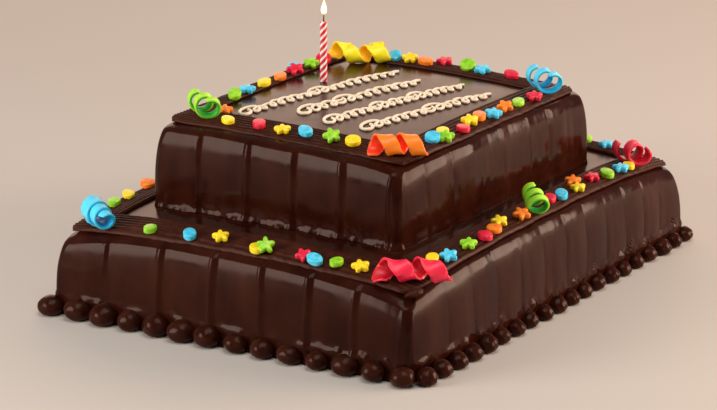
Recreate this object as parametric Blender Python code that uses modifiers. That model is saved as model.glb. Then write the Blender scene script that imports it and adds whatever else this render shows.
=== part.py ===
"""Two-tier birthday sheet cake, iced with chocolate, with candy trim and one lit candle.

Metres, +Z up. X runs along the long sides and the long front side faces -Y. The origin
is the centre of the flat underside. Every separate piece is its own closed object.
"""
import math
import random

import bmesh
import bpy
from mathutils import Matrix, Vector

MM = 0.001
GAP = 0.4 * MM              # clear space between pieces that touch
SIDES = ("front", "right", "back", "left")

# ribbon piped along a tier's top edge: inset from its outer lip, drop of its underside
RIBBON_WIDTH = 28 * MM
RIBBON_INSETS = (0 * MM, 7 * MM, 21 * MM, RIBBON_WIDTH)
RIBBON_THICK = 2.2 * MM
RIBBON_LIFT = 0.8 * MM      # clear space under the ribbon
RIBBON_STATION = 60 * MM    # longest stretch between two sections of a ribbon
RIBBON_ENDS = (0 * MM, 7 * MM, 21 * MM, 44 * MM, 70 * MM)
LIP_WAVE = 0.7 * MM         # how far the lip wanders in and out

# beads piped round the foot
BEAD_LINE = 4.7 * MM        # from the tier's wall out to the line of bead centres
BEAD_HEIGHT = 7.6 * MM
BEAD_RADIUS = 8.4 * MM
BEAD_SQUASH = 0.9           # a bead is a little lower than it is wide
BEAD_NECK = 0.5             # share of the radius left between two beads

# candle
CANDLE_RADIUS = 2.8 * MM
CANDLE_SEEN = 49 * MM
CANDLE_SUNK = 12 * MM
CANDLE_PLACE = (20 * MM, 63 * MM)
WICK_RADIUS = 0.6 * MM
WICK_LENGTH = 4.6 * MM
FLAME_HEIGHT = 11.5 * MM
FLAME_RADIUS = 2.3 * MM

# piped cream scrolls on the top: length, height of a wave, thickness of the cream
CREAM_RADIUS = 1.8 * MM
SCROLL_TURN = math.radians(-12)

COLOURS = {
    "chocolate": (0.038, 0.014, 0.009),
    "ribbon": (0.070, 0.026, 0.016),
    "cream": (0.92, 0.80, 0.62),
    "red": (0.72, 0.015, 0.045),
    "orange": (0.92, 0.20, 0.02),
    "yellow": (0.98, 0.72, 0.03),
    "green": (0.30, 0.60, 0.03),
    "blue": (0.03, 0.48, 0.75),
    "wax": (0.88, 0.84, 0.78),
    "wick": (0.02, 0.018, 0.016),
    "flame": (1.0, 0.62, 0.18),
}


class Tier:
    """One storey of cake. Sizes are half lengths; lip is the outer edge of its ribbons."""

    def __init__(self, name, middle, foot, lip, top, sags, tilt, panels, droops):
        self.name = name
        self.middle = middle
        self.foot = foot
        self.lip = lip
        self.top = top
        self.side_sag, self.corner_sag = sags
        self.tilt = tilt
        self.panels = panels
        self.droops = droops
        self.base = None

    def from_middle(self, x, y):
        return x - self.middle[0], y - self.middle[1]

    def placed(self, point):
        return point[0] + self.middle[0], point[1] + self.middle[1]

    def corner_share(self, x, y):
        """Nothing along the middle lines, rising to 1 at each corner of the lip."""
        along, away = self.from_middle(x, y)
        return abs(along * away / (self.lip[0] * self.lip[1])) ** 3

    def top_height(self, x, y):
        """The nearly flat top: a little lower at the sides, and sagging at the corners."""
        along, away = self.from_middle(x, y)
        sides = (along / self.lip[0]) ** 2 + (away / self.lip[1]) ** 2
        slope = self.tilt[0] * along + self.tilt[1] * away
        sag = self.side_sag * sides + self.corner_sag * self.corner_share(x, y)
        return self.top + slope - sag

    def base_height(self, x, y):
        if self.base is None:
            return 0.0
        return self.base.top_height(x, y) + GAP

    def lip_insets(self, x, y):
        """How far a place is inside the front, right, back and left lips."""
        along, away = self.from_middle(x, y)
        return (self.lip[1] + away, self.lip[0] - along, self.lip[1] - away, self.lip[0] + along)

    def ribbon_under(self, x, y):
        """Underside of the ribbon: just clear of the top, and drooping towards the lip."""
        insets = self.lip_insets(x, y)
        inset = max(min(insets), 0.0)
        droop = self.droops[insets.index(min(insets))]
        droop *= max(1.0 - self.corner_share(x, y), 0.0)
        drops = (droop, 0.36 * droop, 0.0, 0.0)
        drop = 0.0
        for k in range(3):
            if RIBBON_INSETS[k] <= inset <= RIBBON_INSETS[k + 1]:
                share = (inset - RIBBON_INSETS[k]) / (RIBBON_INSETS[k + 1] - RIBBON_INSETS[k])
                drop = drops[k] + share * (drops[k + 1] - drops[k])
        return self.top_height(x, y) - drop + RIBBON_LIFT

    def surface(self, x, y):
        """What a candy lies on: the ribbon near the edge, the bare icing further in."""
        if min(self.lip_insets(x, y)) < RIBBON_WIDTH + 1 * MM:
            return self.ribbon_under(x, y) + RIBBON_THICK
        return self.top_height(x, y)


LOWER = Tier("lower", (0, 0), (210 * MM, 161 * MM), (201 * MM, 154 * MM), 77.5 * MM,
             (0.5 * MM, 12 * MM), (0, 0), (12, 7, 12, 7),
             (2 * MM, 4 * MM, 5 * MM, 4 * MM))
UPPER = Tier("upper", (-1 * MM, 2 * MM), (143.5 * MM, 116.5 * MM), (129 * MM, 108 * MM),
             145.3 * MM, (3 * MM, 0 * MM), (-0.003, 0.018), (8, 5, 8, 5),
             (2.5 * MM, 2 * MM, 3 * MM, 1.5 * MM))
UPPER.base = LOWER
TIERS = (LOWER, UPPER)
CORNER_RADIUS = 12 * MM

# wall rows from the foot up: inset from the foot's outline, share of the height, panel relief
WALL_ROWS = (
    (0.8 * MM, 0.00, 0.0),
    (0.6 * MM, 0.34, 1.0),
    (2.2 * MM, 0.66, 1.0),
    (5.0 * MM, 0.80, 1.0),
    (9.5 * MM, 0.89, 0.8),
    (16.0 * MM, 0.955, 0.3),
)
TOP_EDGE = 33 * MM
UNDERSIDE_EDGE = 60 * MM
# across one knife-worked panel: place along it, how far the icing stands out
PANEL_SHAPE = ((0.0, -1.8 * MM), (0.13, 0.2 * MM), (0.87, 0.9 * MM))
CORNER_COLUMN = (0.36, 0.4 * MM)


def clear_scene():
    for item in list(bpy.data.objects):
        bpy.data.objects.remove(item, do_unlink=True)


def collection(name):
    made = bpy.data.collections.new(name)
    bpy.context.scene.collection.children.link(made)
    return made


def finish_material(name, colour, roughness, glow=0.0):
    """A plain finish for one kind of piece."""
    made = bpy.data.materials.get(name)
    if made:
        return made
    made = bpy.data.materials.new(name)
    made.use_nodes = True
    shader = made.node_tree.nodes["Principled BSDF"]
    shader.inputs["Base Color"].default_value = (*COLOURS[colour], 1.0)
    shader.inputs["Roughness"].default_value = roughness
    shader.inputs["Metallic"].default_value = 0.0
    if glow:
        shader.inputs["Emission Color"].default_value = (*COLOURS[colour], 1.0)
        shader.inputs["Emission Strength"].default_value = glow
    return made


def icing(name):
    return finish_material(name + "_icing", "chocolate", 0.25)


def candy_finish(colour):
    return finish_material(colour + "_candy", colour, 0.4)


def add_mesh(name, mesh, material, smooth_angle=40):
    """Link a mesh to the cake, shaded smooth over gentle edges."""
    made = bpy.data.objects.new(name, mesh)
    CAKE.objects.link(made)
    mesh.materials.clear()
    mesh.materials.append(material)
    mesh.shade_smooth()
    mesh.set_sharp_from_angle(angle=math.radians(smooth_angle))
    return made


def loft(name, rings, material, closed_ends=("face", "face"), smooth_angle=40):
    """Skin equal rings of points. Each end is one face, or a fan round a middle point."""
    shape = bmesh.new()
    loops = [[shape.verts.new(p) for p in ring] for ring in rings]
    count = len(rings[0])
    for near, far in zip(loops, loops[1:]):
        for k in range(count):
            n = (k + 1) % count
            shape.faces.new((near[k], near[n], far[n], far[k]))
    for end, loop in zip(closed_ends, (loops[0], loops[-1])):
        if end == "face":
            shape.faces.new(loop)
        else:
            middle = shape.verts.new(end)
            for k in range(count):
                shape.faces.new((loop[k], loop[(k + 1) % count], middle))
    bmesh.ops.recalc_face_normals(shape, faces=shape.faces)
    mesh = bpy.data.meshes.new(name)
    shape.to_mesh(mesh)
    shape.free()
    return add_mesh(name, mesh, material, smooth_angle)


def turn_to_side(side, along, out):
    """Place a point given along a side and out from the middle: sides run anticlockwise."""
    x, y = along, -out
    for _ in range(side):
        x, y = -y, x
    return x, y


def outline_point(half, radius, side, share):
    """Point on a round-cornered rectangle, from the middle of one corner to the next."""
    length, out = (half[0], half[1]) if side % 2 == 0 else (half[1], half[0])
    eighth = math.pi * radius / 4
    straight = 2 * (length - radius)
    run = share * (straight + 2 * eighth)
    if run < eighth:
        angle = math.radians(-135) + run / radius
        along = radius - length + radius * math.cos(angle)
        away = out - radius - radius * math.sin(angle)
    elif run < eighth + straight:
        along = run - eighth - length + radius
        away = out
    else:
        angle = math.radians(-90) + (run - eighth - straight) / radius
        along = length - radius + radius * math.cos(angle)
        away = out - radius - radius * math.sin(angle)
    return turn_to_side(side, along, away)


def wall_columns(tier):
    """Side, place along it and relief of every upright line of points round a tier."""
    columns = []
    for side, count in enumerate(tier.panels):
        for panel in range(count):
            shape = list(PANEL_SHAPE)
            if panel in (0, count - 1):
                shape.insert(2, CORNER_COLUMN)
            columns += [(side, (panel + place) / count, relief) for place, relief in shape]
    return columns


def flat_ring(tier, columns, inset):
    """The outline of a tier drawn in by an inset, with nearly square corners."""
    half = (tier.foot[0] - inset, tier.foot[1] - inset)
    return [tier.placed(outline_point(half, 3 * MM, side, place)) for side, place, _ in columns]


def make_tier(tier):
    """A whole tier of cake under its icing: knife panels on the walls, a soft domed top."""
    columns = wall_columns(tier)
    rings = []
    for inset, share, strength in WALL_ROWS:
        radius = max(CORNER_RADIUS - inset, 3 * MM)
        ring = []
        for side, place, relief in columns:
            inward = inset - relief * strength
            half = (tier.foot[0] - inward, tier.foot[1] - inward)
            x, y = tier.placed(outline_point(half, radius, side, place))
            low = tier.base_height(x, y)
            high = tier.top_height(x, y)
            ring.append((x, y, low + share * (high - low)))
        rings.append(ring)
    rings.append([(x, y, tier.top_height(x, y)) for x, y in flat_ring(tier, columns, TOP_EDGE)])
    under = "face"
    x, y = tier.middle
    if tier.base:
        ring = flat_ring(tier, columns, UNDERSIDE_EDGE)
        rings.insert(0, [(px, py, tier.base_height(px, py)) for px, py in ring])
        under = (x, y, tier.base_height(x, y))
    return loft(tier.name + "_tier", rings, icing(tier.name), (under, (x, y, tier.top)))


def ribbon_stations(start, stop, full_start, full_stop):
    """Places of the sections: close together where the ribbon sags over a corner."""
    head = [start + inset for inset in RIBBON_ENDS if inset == 0 or full_start]
    tail = [stop - inset for inset in reversed(RIBBON_ENDS) if inset == 0 or full_stop]
    steps = math.ceil((tail[0] - head[-1]) / RIBBON_STATION)
    middle = [head[-1] + (tail[0] - head[-1]) * k / steps for k in range(1, steps)]
    return head + middle + tail


def make_ribbon(tier, side, full_start, full_stop):
    """One piped ribbon; where it isn't full length it butts against its neighbour."""
    length, out = tier.lip if side % 2 == 0 else (tier.lip[1], tier.lip[0])
    start = -length + (0 if full_start else RIBBON_WIDTH + GAP)
    stop = length - (0 if full_stop else RIBBON_WIDTH + GAP)
    rings = []
    for along in ribbon_stations(start, stop, full_start, full_stop):
        ring = []
        outward = [(inset, 0.0) for inset in reversed(RIBBON_INSETS)]
        inward = [(inset, RIBBON_THICK) for inset in RIBBON_INSETS]
        for inset, lift in outward + inward:
            wave = LIP_WAVE * math.sin(along / (9 * MM) + side) if inset == 0 else 0.0
            x, y = tier.placed(turn_to_side(side, along, out - inset - abs(wave)))
            ring.append((x, y, tier.ribbon_under(x, y) + lift))
        rings.append(ring)
    name = tier.name + "_ribbon_" + SIDES[side]
    return loft(name, rings, finish_material("ribbon_icing", "ribbon", 0.45))


def bead_section(side, along, out, radius, wall):
    """Slice through a bead row: round outside, flat on the board and against the wall."""
    points = [(wall, 0.0), (out + 0.4 * radius, 0.0)]
    for degrees in (-8, 42, 95):
        angle = math.radians(degrees)
        height = BEAD_HEIGHT + BEAD_SQUASH * radius * math.sin(angle)
        points.append((out + radius * math.cos(angle), height))
    points.append((wall, BEAD_HEIGHT + 0.6 * radius))
    return [(*turn_to_side(side, along, reach), height) for reach, height in points]


def make_bead_row(side, count, corners):
    """Uneven beads piped in a row, each joined to the next by a thin neck."""
    rng = random.Random(40 + side)
    half = LOWER.foot if side % 2 == 0 else (LOWER.foot[1], LOWER.foot[0])
    wall = half[1] + GAP
    out = half[1] + BEAD_LINE
    reach = half[0] + BEAD_LINE
    pitch = 2 * reach / (count - 1)
    first, last = (0, count - 1) if corners else (1, count - 2)
    rings = []
    for k in range(first, last + 1):
        centre = -reach + k * pitch
        radius = BEAD_RADIUS * rng.uniform(0.9, 1.06)
        tip = 0.4 * radius
        if k == first:
            rings.append(bead_section(side, centre - 0.96 * radius, out, tip, wall))
        for place in (-0.48, 0.48):
            rings.append(bead_section(side, centre + place * radius, out, radius, wall))
        if k < last:
            neck = BEAD_NECK * BEAD_RADIUS * rng.uniform(0.9, 1.1)
            rings.append(bead_section(side, centre + pitch / 2, out, neck, wall))
        else:
            rings.append(bead_section(side, centre + 0.96 * radius, out, tip, wall))
    return loft("beads_" + SIDES[side], rings, icing("bead"), smooth_angle=60)


def settle(item, tier, clearance=GAP):
    """Lower or lift a loose piece until it just clears what it lies on."""
    points = item.data.vertices
    lift = max(tier.surface(p.co.x, p.co.y) + clearance - p.co.z for p in points)
    item.data.transform(Matrix.Translation((0, 0, lift)))
    item.data.update()


def make_curl(tier, name, colour, place, yaw, size, turns, pitch, width, start=0.0):
    """A spiral candy curl lying on its side: a flat band wound round a level axis."""
    radius, end_radius, flat = size
    thick = 1.3 * MM
    steps = math.ceil(turns * 8)
    rings = []
    for k in range(steps + 1):
        share = k / steps
        angle = start + share * turns * 2 * math.pi
        r = radius + share * (end_radius - radius)
        rim = Vector((0, r * math.cos(angle), flat * r * math.sin(angle)))
        path = Vector((pitch * turns * (share - 0.5), 0, 0)) + rim
        along = Vector((pitch / (2 * math.pi), -r * math.sin(angle), flat * r * math.cos(angle)))
        along.normalize()
        radial = rim.normalized()
        across = along.cross(radial).normalized()
        radial = across.cross(along)
        corners = ((-1, -1), (1, -1), (1, 1), (-1, 1))
        rings.append([path + across * (a * width / 2) + radial * (b * thick / 2)
                      for a, b in corners])
    made = loft(name, rings, candy_finish(colour), smooth_angle=50)
    turn = Matrix.Translation((*place, 0)) @ Matrix.Rotation(math.radians(yaw), 4, "Z")
    made.data.transform(turn)
    settle(made, tier, 2 * GAP)
    return made


def star_outline(reach):
    """Five plump points."""
    points = []
    for k in range(10):
        r = reach if k % 2 == 0 else 0.52 * reach
        angle = math.pi / 2 + k * math.pi / 5
        points.append((r * math.cos(angle), r * math.sin(angle)))
    return points


def round_outline(reach, squeeze):
    angles = [2 * math.pi * k / 8 for k in range(8)]
    return [(reach * math.cos(a), squeeze * reach * math.sin(a)) for a in angles]


CANDY_SHAPES = {
    "star": (star_outline(6.4 * MM), 3.4 * MM),
    "oval": (round_outline(6.0 * MM, 0.72), 3.6 * MM),
    "disc": (round_outline(5.2 * MM, 1.0), 3.4 * MM),
}


def make_candy(tier, name, kind, colour, x, y, turn, lean=0):
    """A pressed sugar candy: wide at half height, a little narrower on both faces."""
    outline, thick = CANDY_SHAPES[kind]
    rings = []
    for height, scale in ((0.0, 0.86), (0.5, 1.0), (1.0, 0.82)):
        rings.append([(scale * px, scale * py, height * thick) for px, py in outline])
    made = loft(name, rings, candy_finish(colour), smooth_angle=50)
    pose = Matrix.Translation((x, y, 0)) @ Matrix.Rotation(math.radians(turn), 4, "Z")
    made.data.transform(pose @ Matrix.Rotation(math.radians(lean), 4, "X"))
    settle(made, tier)
    return made


# curls: tier, name, colour, place, yaw, (radius, end radius, flatness), turns, pitch, width
CURLS = (
    (UPPER, "curl_upper_left", "green", (-117, 82), -104, (7.5, 8.0, 1.0), 2.4, 8.5, 5.5),
    (UPPER, "curl_upper_back", "yellow", (94, 80), -56, (7.5, 8.0, 0.95), 2.0, 23, 12),
    (UPPER, "curl_upper_right", "blue", (94, -94), -104, (7.0, 9.0, 1.0), 2.5, 9.0, 4.5),
    (UPPER, "curl_upper_front", "orange", (-116, -88), -52, (6.5, 6.5, 0.95), 2.6, 17, 9),
    (LOWER, "curl_lower_left", "blue", (-187, 131), -100, (7.0, 7.5, 1.0), 2.2, 9.5, 8.5),
    (LOWER, "curl_lower_back", "yellow", (180, 132), 40, (8.0, 8.0, 1.0), 2.2, 9.5, 7.0),
    (LOWER, "curl_lower_right", "red", (151, -137), -80, (8.5, 7.0, 1.0), 2.2, 11, 8.0),
    (LOWER, "curl_lower_front", "red", (-179, -132), -54, (6.0, 7.0, 0.95), 2.1, 25, 13),
    (LOWER, "curl_lower_middle", "green", (-14, -138), -104, (7.0, 9.0, 1.0), 2.4, 9.0, 5.5),
)

# candies on the upper ribbons: side, kind, colour, place along, inset, turn, lean
CANDIES = (
    ("left", "oval", "yellow", -58, 9, 60, 0),
    ("left", "oval", "red", -31, 11, 35, 0),
    ("left", "star", "yellow", -8, 8, 20, 0),
    ("left", "oval", "blue", 10, 12, 60, 8),
    ("left", "star", "green", 34, 11, 35, 24),
    ("left", "disc", "yellow", 52, 12, 0, 0),
    ("left", "star", "orange", -78, 34, 10, 0),
    ("back", "oval", "green", 67, 18, 30, 10),
    ("back", "star", "blue", 53, 20, 10, 0),
    ("back", "oval", "yellow", 28, 20, 0, 0),
    ("back", "oval", "orange", 6, 20, 20, 0),
    ("back", "star", "red", -16, 20, 40, 10),
    ("back", "star", "green", -41, 20, 0, 12),
    ("back", "disc", "red", -65, 20, 0, 8),
    ("right", "oval", "blue", 48, 20, 20, 12),
    ("right", "star", "yellow", 34, 20, 12, 10),
    ("right", "oval", "orange", 20, 19, 75, 0),
    ("right", "star", "red", 9, 7, 30, 0),
    ("right", "disc", "green", -16, 13, 0, 14),
    ("right", "star", "blue", -30, 14, 50, 0),
    ("right", "oval", "red", -55, 11, 80, 8),
    ("front", "star", "red", 73, 7, 15, 0),
    ("front", "oval", "green", 51, 9, 20, 0),
    ("front", "star", "orange", 30, 9, 40, 10),
    ("front", "star", "blue", 8, 7, 5, 0),
    ("front", "oval", "orange", -5, 12, 30, 0),
    ("front", "star", "yellow", -21, 11, 25, 0),
    ("front", "oval", "red", -41, 7, 60, 0),
    ("front", "oval", "yellow", -57, 14, 20, 0),
    ("front", "disc", "blue", -75, 12, 0, 6),
)

# scrolls: middle, length, waves, height
SCROLLS = (
    ("scroll_1", (-6, 47), 160, 9, 8.5),
    ("scroll_2", (-2, 12), 118, 6, 9.0),
    ("scroll_3", (-4, -19), 142, 8, 8.0),
    ("scroll_4", (-8, -49), 128, 8, 7.0),
)


def tube_mesh(name, points, radius, sides):
    """A round cord through the points, as a welded closed mesh."""
    path = bpy.data.curves.new(name + "_path", "CURVE")
    path.dimensions = "3D"
    path.bevel_depth = radius
    path.bevel_resolution = sides
    path.use_fill_caps = True
    spline = path.splines.new("POLY")
    spline.points.add(len(points) - 1)
    for node, place in zip(spline.points, points):
        node.co = (*place, 1.0)
    guide = bpy.data.objects.new(name + "_guide", path)
    CUTTERS.objects.link(guide)
    bpy.context.view_layer.update()
    graph = bpy.context.evaluated_depsgraph_get()
    mesh = bpy.data.meshes.new_from_object(guide.evaluated_get(graph))
    bpy.data.objects.remove(guide, do_unlink=True)
    shape = bmesh.new()
    shape.from_mesh(mesh)
    bmesh.ops.remove_doubles(shape, verts=shape.verts, dist=0.01 * MM)
    bmesh.ops.recalc_face_normals(shape, faces=shape.faces)
    shape.to_mesh(mesh)
    shape.free()
    return mesh


def make_scroll(name, middle, length, waves, height):
    """A line of cream piped in leaning waves, held just clear of the icing."""
    turn = Matrix.Rotation(SCROLL_TURN, 2)
    points = []
    steps = waves * 4
    for k in range(steps + 1):
        share = k / steps
        rise = height * math.sin(share * waves * 2 * math.pi)
        lean = 0.35 * rise
        x, y = turn @ Vector(((share - 0.5) * length * MM + lean * MM, rise * MM))
        x += middle[0] * MM
        y += middle[1] * MM
        points.append((x, y, UPPER.top_height(x, y) + CREAM_RADIUS + 2 * GAP))
    mesh = tube_mesh(name, points, CREAM_RADIUS, 0)
    return add_mesh(name, mesh, finish_material("piped_cream", "cream", 0.5))


def cylinder_mesh(name, radius, low, high, place, sides=16):
    shape = bmesh.new()
    middle = Matrix.Translation((place[0], place[1], (low + high) / 2))
    bmesh.ops.create_cone(shape, cap_ends=True, segments=sides, radius1=radius,
                          radius2=radius, depth=high - low, matrix=middle)
    mesh = bpy.data.meshes.new(name)
    shape.to_mesh(mesh)
    shape.free()
    return mesh


def make_candle(cake):
    """The candle is pushed into the upper tier, through a hole that just clears it."""
    x, y = CANDLE_PLACE
    icing_top = UPPER.top_height(x, y)
    low = icing_top - CANDLE_SUNK
    high = icing_top + CANDLE_SEEN
    hole = bpy.data.objects.new("candle_hole", cylinder_mesh(
        "candle_hole", CANDLE_RADIUS + GAP, low - GAP, high, CANDLE_PLACE))
    hole.hide_render = True
    hole.display_type = "WIRE"
    CUTTERS.objects.link(hole)
    cut = cake.modifiers.new("candle_hole", "BOOLEAN")
    cut.operation = "DIFFERENCE"
    cut.object = hole
    body = cylinder_mesh("candle", CANDLE_RADIUS, low, high, CANDLE_PLACE)
    add_mesh("candle", body, finish_material("candle_wax", "wax", 0.35))
    make_flame(x, y, high)


def make_flame(x, y, high):
    """A short bent wick, and above it the flame as a turned drop."""
    foot = high + GAP
    bend = ((0, 0, 0), (0.1, 0, 1.6), (0.35, 0, 3.2), (0.8, 0, WICK_LENGTH / MM))
    points = [(x + a * MM, y + b * MM, foot + c * MM) for a, b, c in bend]
    wick = tube_mesh("wick", points, WICK_RADIUS, 1)
    add_mesh("wick", wick, finish_material("burnt_wick", "wick", 0.9))
    tip = foot + WICK_LENGTH + 2 * GAP
    outline = ((1.0, 0.0), (0.82, 0.28), (0.6, 0.62), (0.42, 0.86), (0.24, 0.98),
               (0.1, 0.72), (0.0, 0.0))
    shape = bmesh.new()
    verts = [shape.verts.new((FLAME_RADIUS * r, 0, FLAME_HEIGHT * h)) for h, r in outline]
    for near, far in zip(verts, verts[1:]):
        shape.edges.new((near, far))
    mesh = bpy.data.meshes.new("flame")
    shape.to_mesh(mesh)
    shape.free()
    mesh.transform(Matrix.Identity(4))
    made = add_mesh("flame", mesh, finish_material("candle_flame", "flame", 0.5, glow=6.0))
    made.location = (x + 0.5 * MM, y, tip)
    spin = made.modifiers.new("turned", "SCREW")
    spin.steps = 12
    spin.render_steps = 12
    spin.use_merge_vertices = True
    spin.merge_threshold = 0.00001


clear_scene()
CAKE = collection("birthday_cake")
CUTTERS = collection("cutters")

make_tier(LOWER)
upper_body = make_tier(UPPER)
for storey in TIERS:
    make_ribbon(storey, 0, False, True)
    make_ribbon(storey, 1, False, True)
    make_ribbon(storey, 2, False, False)
    make_ribbon(storey, 3, True, True)
for side, (count, corners) in enumerate(((21, True), (14, False), (21, True), (14, False))):
    make_bead_row(side, count, corners)
for tier, name, colour, place, yaw, size, turns, pitch, width in CURLS:
    spot = (place[0] * MM, place[1] * MM)
    rounds = (size[0] * MM, size[1] * MM, size[2])
    make_curl(tier, name, colour, spot, yaw, rounds, turns, pitch * MM, width * MM)
for number, (side, kind, colour, along, inset, turn, lean) in enumerate(CANDIES, 1):
    index = SIDES.index(side)
    out = UPPER.lip[1] if index % 2 == 0 else UPPER.lip[0]
    x, y = UPPER.placed(turn_to_side(index, along * MM, out - inset * MM))
    make_candy(UPPER, f"candy_{kind}_{number:02d}", kind, colour, x, y, turn, lean)
for scroll in SCROLLS:
    make_scroll(*scroll)
make_candle(upper_body)
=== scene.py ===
"""Two-tier chocolate birthday sheet cake with candy trim and one lit candle."""

import bisect
import math
import random

import bmesh
import bpy
from mathutils import Matrix, Vector, noise


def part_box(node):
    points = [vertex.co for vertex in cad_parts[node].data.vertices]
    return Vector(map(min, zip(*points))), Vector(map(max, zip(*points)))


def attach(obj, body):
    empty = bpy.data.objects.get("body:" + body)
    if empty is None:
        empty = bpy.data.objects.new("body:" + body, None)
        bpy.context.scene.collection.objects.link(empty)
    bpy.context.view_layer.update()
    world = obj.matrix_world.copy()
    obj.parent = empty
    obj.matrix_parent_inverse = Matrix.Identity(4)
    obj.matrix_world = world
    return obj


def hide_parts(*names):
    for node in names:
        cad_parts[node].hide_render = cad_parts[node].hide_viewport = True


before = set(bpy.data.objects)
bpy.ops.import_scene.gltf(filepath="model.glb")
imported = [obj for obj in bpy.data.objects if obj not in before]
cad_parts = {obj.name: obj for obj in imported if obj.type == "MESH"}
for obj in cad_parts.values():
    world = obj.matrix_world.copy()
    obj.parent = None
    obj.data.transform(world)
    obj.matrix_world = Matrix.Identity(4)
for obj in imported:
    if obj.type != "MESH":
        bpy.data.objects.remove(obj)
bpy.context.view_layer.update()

# ---------------------------------------------------------------- floor, lights, camera
# A pale seamless floor and big soft boxes, as in a small product studio. The box behind
# the cake lies in the glaze on top, the left one draws the bands on the shoulders, and the
# right one, low and in front, warms the long wall.

MM = 0.001


def new_finish(name, colour, roughness):
    """A material and its shader, with plain values on the shader's own sockets."""
    made = bpy.data.materials.new(name)
    made.use_nodes = True
    shader = made.node_tree.nodes["Principled BSDF"]
    shader.inputs["Base Color"].default_value = (*colour, 1.0)
    shader.inputs["Roughness"].default_value = roughness
    return made, made.node_tree, shader


def add_node(tree, kind, feeds=(), **settings):
    """A node with its settings. Each of its feeds, by input, is a plain value or a socket."""
    node = tree.nodes.new(kind)
    for name, value in settings.items():
        setattr(node, name, value)
    for place, value in dict(feeds).items():
        if isinstance(value, bpy.types.NodeSocket):
            tree.links.new(value, node.inputs[place])
        else:
            node.inputs[place].default_value = value
    return node


def mottle(tree, scale, detail=2.0, laid="Object"):
    """Soft noise between 0 and 1, laid over a piece in metres or, Generated, over its box."""
    place = add_node(tree, "ShaderNodeTexCoord").outputs[laid]
    feeds = {"Vector": place, "Scale": scale, "Detail": detail}
    return add_node(tree, "ShaderNodeTexNoise", feeds).outputs["Fac"]


def ramp(tree, value, stops):
    """A ColorRamp over a value: stops are position and colour."""
    node = add_node(tree, "ShaderNodeValToRGB", {"Fac": value})
    elements = node.color_ramp.elements
    while len(elements) < len(stops):
        elements.new(0.5)
    for element, (position, colour) in zip(elements, stops):
        element.position = position
        element.color = (*colour, 1.0)
    return node.outputs["Color"]


def dress(tree, shader, colour, rough=None, height=None, strength=0.0, depth=0.0):
    """Feed a shader its colour, its roughness, and a bump with its strength and depth in mm."""
    tree.links.new(colour, shader.inputs["Base Color"])
    if rough is not None:
        tree.links.new(rough, shader.inputs["Roughness"])
    if height is not None:
        feeds = {"Height": height, "Strength": strength, "Distance": depth * MM}
        relief = add_node(tree, "ShaderNodeBump", feeds)
        tree.links.new(relief.outputs["Normal"], shader.inputs["Normal"])


floor_finish, floor_tree, floor_shader = new_finish("pale_floor", (0.56, 0.51, 0.46), 0.75)
dress(floor_tree, floor_shader, ramp(floor_tree, mottle(floor_tree, 3.0, laid="Generated"),
                                     ((0.0, (0.54, 0.49, 0.44)), (1.0, (0.58, 0.53, 0.48)))))

floor_mesh = bpy.data.meshes.new("floor")
floor_mesh.from_pydata([(-6, -6, 0), (6, -6, 0), (6, 6, 0), (-6, 6, 0)], [], [(0, 1, 2, 3)])
floor_mesh.materials.append(floor_finish)
floor = bpy.data.objects.new("floor", floor_mesh)
bpy.context.scene.collection.objects.link(floor)

world = bpy.data.worlds.new("studio_air")
world.use_nodes = True
world.node_tree.nodes["Background"].inputs["Color"].default_value = (0.96, 0.97, 1.0, 1)
world.node_tree.nodes["Background"].inputs["Strength"].default_value = 0.22
bpy.context.scene.world = world
bpy.context.scene.view_settings.view_transform = "Standard"

# name, place, power in watts, width and height, colour; every box faces the cake
SOFT_BOXES = (
    ("box_behind", (2.10, 1.30, 0.98), 26, (3.0, 1.4), (1.0, 0.67, 0.49)),
    ("box_left", (-1.36, 0.92, 0.55), 25, (0.95, 0.95), (1.0, 0.91, 0.84)),
    ("box_right", (0.92, -1.48, 0.50), 47, (1.5, 0.95), (1.0, 0.76, 0.60)),
    ("box_above", (-0.6, -0.5, 2.0), 19, (1.3, 1.3), (1.0, 0.97, 0.93)),
)
AIM = Vector((0, 0, 0.08))
for name, place, power, size, colour in SOFT_BOXES:
    light = bpy.data.lights.new(name, "AREA")
    light.shape = "RECTANGLE"
    light.size, light.size_y = size
    light.energy = power
    light.color = colour
    lamp = bpy.data.objects.new(name, light)
    lamp.location = place
    lamp.rotation_euler = (AIM - Vector(place)).to_track_quat("-Z", "Y").to_euler()
    bpy.context.scene.collection.objects.link(lamp)

CAMERA_AZIMUTH = -58.26
CAMERA_ELEVATION = 16.81
camera_data = bpy.data.cameras.new("view")
camera_data.sensor_width = 36
camera_data.lens = 177.8
camera_data.clip_start = 0.05
camera = bpy.data.objects.new("view", camera_data)
camera.location = (-2.2754, -1.3893, 0.8634)
camera.rotation_euler = (math.radians(90 - CAMERA_ELEVATION), 0, math.radians(CAMERA_AZIMUTH))
bpy.context.scene.collection.objects.link(camera)
bpy.context.scene.camera = camera

# ------------------------------------------------------------------------ lower tier
# The base tier is a filled sheet cake under dark chocolate glaze. The glaze is drawn up
# the walls with a palette knife, one upright stroke beside the next, and rolled over the
# shoulder; each stroke ends in a low ridge and steps down to the next one.

SIDES = ("front", "right", "back", "left")
LOWER = {
    "name": "lower", "middle": (0, 0), "foot": (210, 161), "lip": (201, 154), "top": 77.5,
    "side_sag": 0.5, "corner_sag": 12, "tilt": (0, 0), "droops": (2, 4, 5, 6.5),
    "corner_cut": (8.0, 5.5, 0.0),
}
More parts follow.
